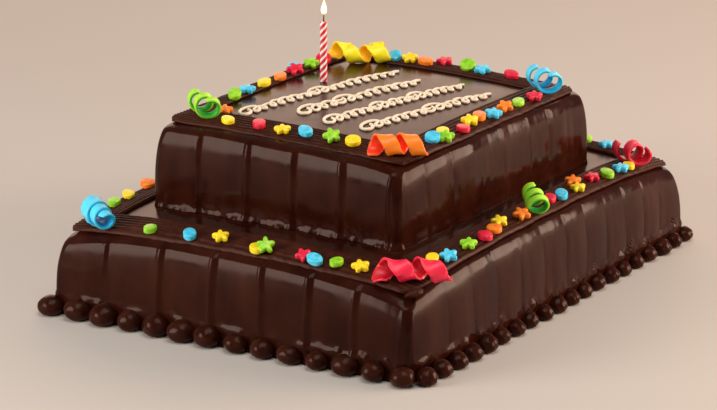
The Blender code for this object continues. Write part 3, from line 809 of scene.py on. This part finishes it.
# A dab of icing, pressed on with a finger, hides the join of two ribbons at the corner.
DAB_PLACE = (-197, -150.5, 66.2)
dab_points = []
for row in range(13):
    polar = math.pi * (0.04 + 0.92 * row / 12)
    for k in range(24):
        angle = 2 * math.pi * k / 24
        lump = 1 + 0.35 * noise_at(7 * math.cos(angle), 7 * math.sin(angle), 7 * polar, 4.0, 2.0)
        r = math.sin(polar) * lump
        x, y = 6.5 * r * math.cos(angle + 0.6), 5.0 * r * math.sin(angle)
        z = 2.9 * math.cos(polar) * lump - 1.2 * r * math.sin(angle)
        dab_points.append((DAB_PLACE[0] + x, DAB_PLACE[1] + y, DAB_PLACE[2] + z))
piece_from("corner_dab", dab_points, tube_faces(13, 24), ribbon_finish, "lower_ribbon_icing",
           turn_out=True)

# --------------------------------------------------------------------- candy confetti
# Pressed sugar candies pushed lightly into the ribbons: plump five-pointed stars, ovals
# and round tablets in five colours, with a chalky skin and rounded edges.

CANDY_COLOURS = {
    "yellow": ((0.95, 0.62, 0.003), (1.0, 0.84, 0.02)),
    "red": ((0.66, 0.004, 0.03), (0.86, 0.02, 0.07)),
    "blue": ((0.02, 0.52, 0.82), (0.16, 0.76, 0.96)),
    "green": ((0.17, 0.56, 0.005), (0.46, 0.80, 0.03)),
    "orange": ((0.95, 0.16, 0.004), (1.0, 0.32, 0.02)),
}


def let_light_in(shader, weight, *reach):
    """Let light into a soft material, as far as it reaches for red, green and blue, in mm."""
    shader.inputs["Subsurface Weight"].default_value = weight
    shader.inputs["Subsurface Radius"].default_value = [distance * MM for distance in reach]


def candy_finish(colour):
    """Pressed sugar: strong colour, paler and chalky in patches, with tiny pits."""
    deep, pale = CANDY_COLOURS[colour]
    made, tree, shader = new_finish(colour + "_sugar", deep, 0.42)
    chalk = mottle(tree, 260.0, 4.0)
    dress(tree, shader, ramp(tree, chalk, ((0.35, deep), (0.70, pale))),
          calculate(tree, "MULTIPLY_ADD", chalk, 0.25, 0.20), mottle(tree, 1700.0), 0.25, 0.3)
    let_light_in(shader, 0.15, 4, 2, 1)
    return made


def candy_shape(name, outline_at, thick, squareness, flatness):
    """A cushion-shaped candy on z = 0: an outline that closes in over both faces."""
    around, rows = 50, 7
    points = [(0, 0, 0)]
    for row in range(1, 2 * rows):
        share = row / (2 * rows)
        angle_up = math.pi * (share - 0.5)
        reach = math.cos(angle_up) ** squareness
        rise = math.copysign(abs(math.sin(angle_up)) ** flatness, angle_up)
        for k in range(around):
            angle = 2 * math.pi * k / around
            r = outline_at(angle) * (0.06 + 0.94 * reach)
            points.append((r * math.cos(angle), r * math.sin(angle), thick * (0.5 + 0.5 * rise)))
    points.append((0, 0, thick))
    return bare_object(name, points, round_faces(2 * rows - 1, around))


def star_reach(angle):
    """Outline of a plump five-pointed star."""
    swing = math.cos(5 * (angle - math.pi / 2))
    return 5.25 + 1.45 * math.copysign(abs(swing) ** 0.85, swing)


def oval_reach(angle):
    """Outline of an oval tablet."""
    return 1 / math.sqrt((math.cos(angle) / 6.5) ** 2 + (math.sin(angle) / 4.7) ** 2)


CANDY_KINDS = {
    "star": candy_shape("star", star_reach, 4.7, 0.36, 0.70),
    "oval": candy_shape("oval", oval_reach, 4.3, 0.15, 0.42),
    "disc": candy_shape("disc", lambda angle: 5.9, 4.3, 0.15, 0.42),
}


def surface_height(tier, x, y):
    """What a candy lies on: the ribbon near the edge, the bare glaze further in."""
    if min(lip_insets(tier, x, y)) < RIBBON_WIDTH + 1:
        return ribbon_under(tier, x, y) + RIBBON_THICK
    return top_height(tier, x, y)


LEAN_AXIS = Vector((0.526, -0.850, 0.0))
LEAN_MORE = {"star": 13, "oval": 5, "disc": 15}
CANDY_SINK = 0.9
CANDY_HALF = 4.6


def candy_place(tier, side, kind, along, inset, turn, lean, rng):
    """Point, turn and size of a candy from its place on a side's ribbon.

    The candies were dropped on from behind and mostly lean to the front left corner."""
    out = tier["lip"][1 - side % 2] - inset
    x, y = turn_to_side(side, along, out)
    x, y = x + tier["middle"][0], y + tier["middle"][1]
    lean = math.radians(lean + LEAN_MORE[kind] * rng.uniform(0.5, 1.3))
    z = surface_height(tier, x, y) - CANDY_SINK + CANDY_HALF * math.sin(lean)
    pose = Matrix.Rotation(lean, 3, LEAN_AXIS) @ Matrix.Rotation(math.radians(turn), 3, "Z")
    size = rng.uniform(0.96, 1.06)
    return (x, y, z), tuple(pose.to_euler()), (size, size, size)


# kind, colour, place along the side, inset from the lip, turn, lean in degrees
UPPER_CANDIES = (
    ("left", (("oval", "yellow", -58, 9, 60, 0), ("oval", "red", -31, 11, 35, 0),
              ("star", "yellow", -8, 8, 20, 0), ("oval", "blue", 10, 12, 60, 8),
              ("star", "green", 34, 11, 35, 24), ("disc", "yellow", 52, 12, 0, 0),
              ("star", "orange", -78, 34, 10, 0))),
    ("back", (("oval", "green", 61, 17, 30, 10), ("star", "blue", 43, 17, 10, 0),
              ("oval", "yellow", 19, 17, 0, 0), ("oval", "orange", -4, 17, 20, 0),
              ("star", "red", -26, 17, 40, 10), ("star", "green", -50, 17, 0, 12),
              ("disc", "red", -70, 16, 0, 8))),
    ("right", (("oval", "blue", 48, 20, 20, 12), ("star", "yellow", 34, 20, 12, 10),
               ("oval", "orange", 20, 19, 75, 0), ("star", "red", 9, 7, 30, 0),
               ("disc", "green", -16, 13, 0, 14), ("star", "blue", -30, 14, 50, 0),
               ("oval", "red", -55, 11, 80, 8))),
    ("front", (("star", "red", 73, 7, 15, 0), ("oval", "green", 51, 9, 20, 0),
               ("star", "orange", 30, 9, 40, 10), ("star", "blue", 8, 7, 5, 0),
               ("oval", "orange", -5, 12, 30, 0), ("star", "yellow", -21, 11, 25, 0),
               ("oval", "red", -38, 7, 60, 0), ("oval", "yellow", -57, 14, 20, 0),
               ("disc", "blue", -75, 12, 0, 6))),
)
EXTRA_UPPER_CANDIES = (
    ("back", (("oval", "blue", -33, 12, 60, 12),)),
    ("front", (("star", "green", -66, 6, 10, 8),)),
)
LOWER_CANDIES = (
    ("left", (("oval", "green", -81, 5, 10, 0), ("oval", "blue", -45, 5, 35, 6),
              ("star", "yellow", -19, 8, 20, 0), ("oval", "yellow", 15, 4, 40, 0),
              ("star", "green", 22, 6, 15, 30), ("star", "red", 56, 5, 40, 12),
              ("oval", "blue", 66, 4, 70, 14), ("oval", "green", 83, 7, 5, 0),
              ("star", "yellow", 103, 8, 25, 6))),
    ("front", (("oval", "yellow", -150, 16, 20, 0), ("star", "blue", -140, 8, 30, 8),
               ("star", "green", -111, 8, 10, 6), ("oval", "red", -88, 7, 60, 0),
               ("disc", "orange", -71, 9, 0, 0), ("star", "yellow", -56, 13, 30, 12),
               ("star", "orange", -31, 8, 45, 8), ("oval", "red", 19, 11, 30, 0),
               ("oval", "blue", 32, 8, 40, 8), ("star", "yellow", 57, 7, 20, 0),
               ("star", "orange", 67, 17, 10, 10), ("star", "red", 89, 12, 35, 0),
               ("oval", "green", 107, 8, 60, 6), ("star", "blue", 130, 8, 15, 0),
               ("oval", "yellow", 144, 8, 50, 0))),
    ("right", (("oval", "green", -83, 11, 40, 0), ("star", "blue", -104, 16, 20, 0),
               ("star", "yellow", -52, 12, 35, 0), ("oval", "red", -28, 14, 15, 6),
               ("disc", "orange", -4, 11, 0, 0), ("star", "green", 22, 13, 50, 8),
               ("oval", "blue", 49, 10, 70, 0), ("star", "red", 77, 14, 12, 0))),
    ("back", (("oval", "green", 151, 8, 20, 0), ("oval", "yellow", 132, 8, 50, 0),
              ("disc", "orange", 103, 6, 0, 0), ("star", "blue", 48, 11, 25, 6),
              ("oval", "red", 20, 14, 60, 0), ("star", "yellow", -9, 10, 40, 0),
              ("oval", "green", -37, 13, 15, 8), ("star", "orange", -66, 12, 33, 0),
              ("disc", "blue", -95, 14, 0, 0), ("star", "red", -128, 11, 20, 0))),
)

candy_rng = random.Random(31)
gathered = {}
number = 0
for tier, table, in_frame in ((UPPER, UPPER_CANDIES, True), (UPPER, EXTRA_UPPER_CANDIES, False),
                              (LOWER, LOWER_CANDIES, False)):
    for side_name, rows in table:
        for kind, colour, *where in rows:
            entry = gathered.setdefault((colour, kind), [[], []])
            entry[0].append(candy_place(tier, SIDES.index(side_name), kind, *where, candy_rng))
            if in_frame:
                number += 1
                entry[1].append("candy_%s_%02d" % (kind, number))
candy_finishes = {colour: candy_finish(colour) for colour in CANDY_COLOURS}
for (colour, kind), (places, nodes) in sorted(gathered.items()):
    repeat_shape_at("%s_%s_candies" % (colour, kind), CANDY_KINDS[kind], places,
                    candy_finishes[colour], colour + "_candy", *nodes, sizes=(0.96, 1.04), seed=3)
for shape in CANDY_KINDS.values():
    bpy.data.objects.remove(shape)

# ------------------------------------------------------------------------ candy curls
# Flat bands of soft candy wound round a rod and set in corkscrew curls, laid in the
# corners and half way along the front. The face turned in to the coil is painted in a deeper
# colour, as painted shade.


# deep colour: painted shade on the face turned in to the coil, and a little in mottled patches outside;
# pale colour: the candy's own
CURL_COLOURS = {
    "yellow": ((0.98, 0.56, 0.004), (1.0, 0.86, 0.02)),
    "red": ((0.60, 0.004, 0.02), (0.94, 0.02, 0.07)),
    "blue": ((0.003, 0.42, 0.74), (0.10, 0.68, 0.93)),
    "green": ((0.02, 0.42, 0.03), (0.42, 0.80, 0.02)),
    "orange": ((0.92, 0.045, 0.004), (1.0, 0.25, 0.01)),
}
# tier, name, colour, place, yaw and tilt, first and last radius and flatness, turns,
# pitch and sideways slide a turn, width and thickness, squareness, start angle
CURLS = (
    (UPPER, "upper_left", "green", (-118, 84), (-138, 12), (6.4, 7.9, 1.0), 2.1,
     (9, 4), (6.0, 2.6), 1.0, 80),
    (UPPER, "upper_back", "yellow", (90, 73), (-56, 0), (5.9, 5.9, 0.95), 1.9,
     (23, 0), (12, 1.8), 0.80, -75),
    (UPPER, "upper_right", "blue", (96, -94), (-132, 12), (7.0, 8.6, 1.0), 2.1,
     (9, 4), (6.0, 2.0), 1.0, 80),
    (UPPER, "upper_front", "orange", (-118, -89), (-52, 0), (6.3, 6.3, 0.95), 2.1,
     (18, 0), (11, 2.0), 0.75, -100),
    (LOWER, "lower_left", "blue", (-197, 128), (-123, 8), (9.6, 5.4, 1.0), 2.7,
     (9, 1), (11.5, 2.3), 1.0, 250),
    (LOWER, "lower_back", "yellow", (180, 132), (40, 10), (8.0, 9.0, 1.0), 1.9,
     (10, 5), (7.0, 1.8), 1.0, 0),
    (LOWER, "lower_right", "red", (157, -143), (-130, 9), (8.6, 6.4, 1.0), 1.8,
     (9, 5), (8.6, 2.8), 1.0, 130),
    (LOWER, "lower_front", "red", (-186, -142), (-54, 0), (5.6, 6.2, 0.9), 2.1,
     (24, 0), (13, 1.8), 0.62, -125),
    (LOWER, "lower_middle", "green", (-12, -147), (-142, 16), (5.6, 8.0, 1.0), 2.3,
     (10.5, 1), (4.8, 2.8), 1.0, 70),
)
STEPS_A_TURN = 40
OPEN_PITCH = 15
CURL_SINK = 0.6


def curl_finish(colour):
    """Moulded candy: satin outside, with painted shade, deeper and warmer, on the inner face."""
    deep, pale = CURL_COLOURS[colour]
    made, tree, shader = new_finish(colour + "_curl", pale, 0.35)
    inner_shade = add_node(tree, "ShaderNodeAttribute", attribute_name="inner_shade").outputs["Fac"]
    cloudy = mottle(tree, 120.0, 3.0)
    # painted shade: the face turned in to the coil takes the deep colour
    share = calculate(tree, "ADD", inner_shade, calculate(tree, "MULTIPLY_ADD", cloudy, 0.5, -0.15))
    dress(tree, shader, ramp(tree, share, ((0.05, pale), (0.85, deep))),
          calculate(tree, "MULTIPLY_ADD", cloudy, 0.2, 0.25), cloudy, 0.15, 0.4)
    let_light_in(shader, 0.2, 4, 3, 2)
    return made


def band_section(width, thick):
    """Across the band: place across, place through it, and whether it faces inwards."""
    across = [(k / 8 - 0.5) * width for k in range(9)]
    section = [(place, 0.5 * thick, 0.0) for place in across]
    section.append((0.5 * width + 0.35, 0.0, 0.4))
    section += [(-place, -0.5 * thick, 1.0) for place in across]
    section.append((-0.5 * width - 0.35, 0.0, 0.4))
    return section


def curl_piece(tier, name, colour, place, way, size, turns, pitches, band, square, start):
    """One corkscrew curl lying on its side, lowered until it rests on what is below it."""
    radius, end_radius, flat = size
    (pitch, slide), (width, thick) = pitches, band
    section = band_section(width, thick)
    steps = math.ceil(turns * STEPS_A_TURN)
    pose = Matrix.Translation((*place, 0)) @ Matrix.Rotation(math.radians(way[0]), 4, "Z")
    pose = pose @ Matrix.Rotation(math.radians(way[1]), 4, "Y")
    points, inner_shade = [], []

    def rim_at(share):
        angle = math.radians(start) + share * turns * 2 * math.pi
        r = radius + share * (end_radius - radius) + 0.4 * noise_at(share * 40, turns, 0, 9.0)
        cos, sin = math.cos(angle), math.sin(angle)
        return Vector((pitch * turns * (share - 0.5),
                       slide * turns * (share - 0.5) + r * math.copysign(abs(cos) ** square, cos),
                       flat * r * math.copysign(abs(sin) ** square, sin)))

    for k in range(steps + 1):
        share = k / steps
        path = rim_at(share)
        along = (rim_at(share + 0.004) - rim_at(share - 0.004)).normalized()
        radial = Vector((0, path.y - slide * turns * (share - 0.5), path.z)).normalized()
        across = along.cross(radial).normalized()
        radial = across.cross(along)
        taper = 1 - 0.35 * math.exp(-min(k, steps - k) / 2.5)
        for a, b, face in section:
            cup = 0.25 * (a / width * 2) ** 2
            point = pose @ (path + across * a * taper + radial * (b + cup))
            points.append(tuple(point))
            inner_shade.append(face)
    if pitch > OPEN_PITCH:
        points = [(x, y, z + surface_height(tier, x, y)) for x, y, z in points]
    clear = max(surface_height(tier, x, y) - CURL_SINK - z for x, y, z in points)
    points = [(x, y, z + clear) for x, y, z in points]
    piece = piece_from("curl_" + name + "_band", points, tube_faces(steps + 1, len(section)),
                       curl_finishes[colour], colour + "_candy", "curl_" + name, turn_out=True)
    # painted shade mask: 1 on the face turned in to the coil, where the deep colour is painted
    data = piece.data.attributes.new("inner_shade", "FLOAT", "POINT").data
    for item, value in zip(data, inner_shade):
        item.value = value


curl_finishes = {colour: curl_finish(colour) for colour in CURL_COLOURS}
for row in CURLS:
    curl_piece(*row)

# ---------------------------------------------------------------------- cream piping
# Vanilla cream piped through a small round tip in four lines, each of them two or three
# garlands of plain loops. The cream keeps its round section and thins with the hand's speed.

pipe_tree = bpy.data.node_groups.new("piped_line", "GeometryNodeTree")
pipe_in, pipe_out = add_sockets(
    pipe_tree,
    (("Line", "Geometry"), ("Thickness", "Float", 0.0017), ("Unevenness", "Float", 0.35),
     ("Lump Size", "Float", 160.0), ("Finish", "Material")), (("Cream", "Geometry"),))
pipe_noise = add_node(pipe_tree, "ShaderNodeTexNoise", {"Scale": pipe_in["Lump Size"]})
pipe_low = calculate(pipe_tree, "MULTIPLY_ADD", pipe_in["Unevenness"], -0.5, 1.0)
pipe_share = calculate(pipe_tree, "MULTIPLY_ADD", pipe_noise.outputs["Fac"],
                       pipe_in["Unevenness"], pipe_low)
pipe_thick = calculate(pipe_tree, "MULTIPLY", pipe_share, pipe_in["Thickness"])
pipe_curve = add_node(pipe_tree, "GeometryNodeMeshToCurve", {"Mesh": pipe_in["Line"]})
pipe_radius = add_node(pipe_tree, "GeometryNodeSetCurveRadius", {
    "Curve": pipe_curve.outputs["Curve"], "Radius": pipe_thick})
pipe_ring = add_node(pipe_tree, "GeometryNodeCurvePrimitiveCircle", {"Resolution": 10, "Radius": 1.0})
pipe_mesh = add_node(pipe_tree, "GeometryNodeCurveToMesh", {
    "Curve": pipe_radius.outputs["Curve"], "Profile Curve": pipe_ring.outputs["Curve"],
    "Scale": pipe_thick, "Fill Caps": True})
end_tree(pipe_tree, pipe_mesh.outputs["Mesh"], pipe_in["Finish"], pipe_out["Cream"])

cream_finish, cream_tree, cream_shader = new_finish("vanilla_cream", (0.90, 0.80, 0.64), 0.45)
cream_curd = mottle(cream_tree, 240.0, 4.0)
cream_colour = ramp(cream_tree, cream_curd, ((0.3, (0.80, 0.64, 0.44)), (0.7, (0.92, 0.82, 0.66))))
dress(cream_tree, cream_shader, cream_colour, None, cream_curd, 0.3, 0.4)
let_light_in(cream_shader, 0.2, 4, 3, 2)

SCROLL_TURN = math.radians(-12)
CREAM_RADIUS = 1.3
# middle, length, height of the loops, and how many loops each garland has
SCROLLS = (
    ((-8, 47), 162, 9.0, (7, 9)),
    ((-4, 13), 120, 10.0, (3, 8)),
    ((-4, -19), 144, 9.0, (5, 4, 6)),
    ((-8, -50), 130, 9.0, (6, 6)),
)
GARLAND_GAP = 8.0
LOOP_SLANT = 0.45


def garland(count, pitch, height, rng):
    """A row of piped loops that swells towards its middle, with a long sweep at each end."""
    tall = [height * (0.62 + 0.50 * math.sin(math.pi * (k + 0.5) / (count + 1)) ** 2)
            * rng.uniform(0.90, 1.10) for k in range(count + 2)]
    tall[0] = height * 1.5
    wide = [pitch * rng.uniform(0.36, 0.50) for _ in range(count + 2)]
    wide[0] = 0.8 * pitch
    line = []
    steps = 18
    for step in range(-3 * steps // 4, count * steps + steps // 4):
        t = step / steps
        k = max(math.floor(t + 0.5), 0)
        swing = 2 * math.pi * (t + 0.5)
        y = tall[k] * (0.5 - 0.5 * math.cos(swing))
        line.append((pitch * t - wide[k] * math.sin(swing) + LOOP_SLANT * y, y))
    return line


for k, (middle, length, height, groups) in enumerate(SCROLLS, 1):
    rng = random.Random(70 + k)
    turn = Matrix.Rotation(SCROLL_TURN, 2)
    pitch = (length - GARLAND_GAP * (len(groups) - 1)) / sum(groups)
    start = -length / 2
    points, edges = [], []
    for count in groups:
        first = len(points)
        for px, py in garland(count, pitch, height, rng):
            x, y = turn @ Vector((start + px, py - 0.5 * height))
            x, y = x + middle[0], y + middle[1]
            points.append((x, y, top_height(UPPER, x, y) + 0.75 * CREAM_RADIUS))
        edges += [(j, j + 1) for j in range(first, len(points) - 1)]
        start += count * pitch + GARLAND_GAP
    carrier = bare_object("scroll_%d_line" % k, points, [], edges)
    values = {"Thickness": CREAM_RADIUS * MM, "Unevenness": 0.6, "Lump Size": 190.0,
              "Finish": cream_finish}
    run_nodes(carrier, pipe_tree, values, "scroll_%d_cream" % k, "cream_piping", "scroll_%d" % k)

# ----------------------------------------------------------------------------- candle
# A thin white wax candle with a red stripe wound round it, pushed into the upper tier,
# with a bent charred wick and a small upright flame.

CANDLE_PLACE = (20.0, 63.0)
CANDLE_RADIUS = 2.8
CANDLE_SEEN = 49.0
CANDLE_SUNK = 12.0
STRIPES = 3
STRIPE_RISE = 5.8


def turned_piece(name, rings, around, finish, slot, node):
    """A closed round piece. Each ring has its centre, radius, turn and depth of thread."""
    points = []
    for x, y, z, radius, turn, thread in rings:
        for k in range(around):
            angle = 2 * math.pi * k / around + turn
            r = radius + thread * math.cos(STRIPES * angle - 2 * math.pi * z / STRIPE_RISE)
            points.append((x + r * math.cos(angle), y + r * math.sin(angle), z))
    piece_from(name, points, tube_faces(len(rings), around), finish, slot, node)


wax_finish, wax_tree, wax_shader = new_finish("striped_wax", (0.90, 0.86, 0.80), 0.4)
wax_centre = add_node(wax_tree, "ShaderNodeMapping", {
    "Vector": add_node(wax_tree, "ShaderNodeTexCoord").outputs["Object"],
    "Location": (-CANDLE_PLACE[0] * MM, -CANDLE_PLACE[1] * MM, 0)})
wax_x, wax_y, wax_z = add_node(wax_tree, "ShaderNodeSeparateXYZ", {
    0: wax_centre.outputs["Vector"]}).outputs
wax_turns = calculate(wax_tree, "MULTIPLY", calculate(wax_tree, "ARCTAN2", wax_y, wax_x),
                      STRIPES / (2 * math.pi))
wax_rise = calculate(wax_tree, "MULTIPLY", wax_z, 1 / (STRIPE_RISE * MM))
wax_wave = calculate(wax_tree, "FRACT", calculate(wax_tree, "SUBTRACT", wax_rise, wax_turns))
wax_stripe = ramp(wax_tree, wax_wave, ((0.0, (0.62, 0.006, 0.022)), (0.04, (0.64, 0.007, 0.025)),
                                       (0.52, (0.66, 0.008, 0.028)), (0.57, (0.90, 0.86, 0.81)),
                                       (0.95, (0.90, 0.87, 0.82)), (1.0, (0.76, 0.24, 0.26))))
dress(wax_tree, wax_shader, wax_stripe,
      calculate(wax_tree, "MULTIPLY_ADD", mottle(wax_tree, 500.0), 0.2, 0.28))
let_light_in(wax_shader, 0.08, 4, 3, 3)

candle_low = top_height(UPPER, *CANDLE_PLACE) - CANDLE_SUNK
candle_high = candle_low + CANDLE_SUNK + CANDLE_SEEN
straight = [candle_low + 0.6 + (candle_high - candle_low - 1.6) * k / 60 for k in range(61)]
candle_outline = [(2.2, candle_low)] + [(CANDLE_RADIUS, z) for z in straight] + [
    (2.55, candle_high - 0.3), (2.0, candle_high), (1.2, candle_high - 0.5), (0.7, candle_high - 0.8)]
turned_piece("striped_candle", [
    (*CANDLE_PLACE, z, radius, 0.0, 0.07 if radius == CANDLE_RADIUS else 0.0)
    for radius, z in candle_outline], 32, wax_finish, "candle_wax", "candle")

WICK_RADIUS = 0.55
WICK_BEND = ((0, 0, -0.9), (0, 0, 0.4), (0.1, 0, 1.8), (0.35, 0.05, 3.4), (0.8, 0.1, 5.0))
wick_finish, wick_tree, wick_shader = new_finish("charred_wick", (0.02, 0.015, 0.012), 0.9)
dress(wick_tree, wick_shader, ramp(wick_tree, mottle(wick_tree, 1500.0, laid="Generated"),
                                   ((0.3, (0.012, 0.010, 0.009)), (0.7, (0.09, 0.04, 0.02)))))
turned_piece("bent_wick", [
    (CANDLE_PLACE[0] + x, CANDLE_PLACE[1] + y, candle_high + z, WICK_RADIUS * (1.1 - 0.06 * z), z, 0.0)
    for x, y, z in curve_through(WICK_BEND, 16)], 8, wick_finish, "wick_cord", "wick")

# reach and height of the flame, as shares of its box
FLAME_CURVE = ((0.15, 0.0), (0.75, 0.06), (1.0, 0.2), (0.98, 0.36), (0.74, 0.55), (0.46, 0.72),
               (0.22, 0.87), (0.03, 1.0))
flame_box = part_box("flame")
flame_low = [corner / MM for corner in flame_box[0]]
flame_size = [(high - low) / MM for low, high in zip(*flame_box)]
flame_finish, flame_tree, flame_shader = new_finish("candle_fire", (1.0, 0.75, 0.35), 0.6)
flame_z = add_node(flame_tree, "ShaderNodeSeparateXYZ", {
    0: add_node(flame_tree, "ShaderNodeTexCoord").outputs["Object"]}).outputs["Z"]
flame_share = calculate(flame_tree, "MULTIPLY_ADD", flame_z, 1 / (flame_size[2] * MM),
                        -flame_low[2] / flame_size[2])
flame_colour = ramp(flame_tree, flame_share, (
    (0.0, (0.9, 0.22, 0.04)), (0.18, (1.0, 0.55, 0.18)), (0.45, (1.0, 0.86, 0.55)),
    (0.75, (1.0, 0.72, 0.30)), (1.0, (1.0, 0.35, 0.06))))
flame_tree.links.new(flame_colour, flame_shader.inputs["Emission Color"])
flame_shader.inputs["Emission Strength"].default_value = 5.0
turned_piece("small_flame", [
    (flame_low[0] + flame_size[0] / 2 + 0.35 * share * math.sin(2.2 * share),
     flame_low[1] + flame_size[1] / 2, flame_low[2] + share * flame_size[2],
     flame_size[0] / 2 * 0.95 * reach, 0.0, 0.0)
    for reach, share in curve_through(FLAME_CURVE, 28)], 24, flame_finish, "flame_glow", "flame")
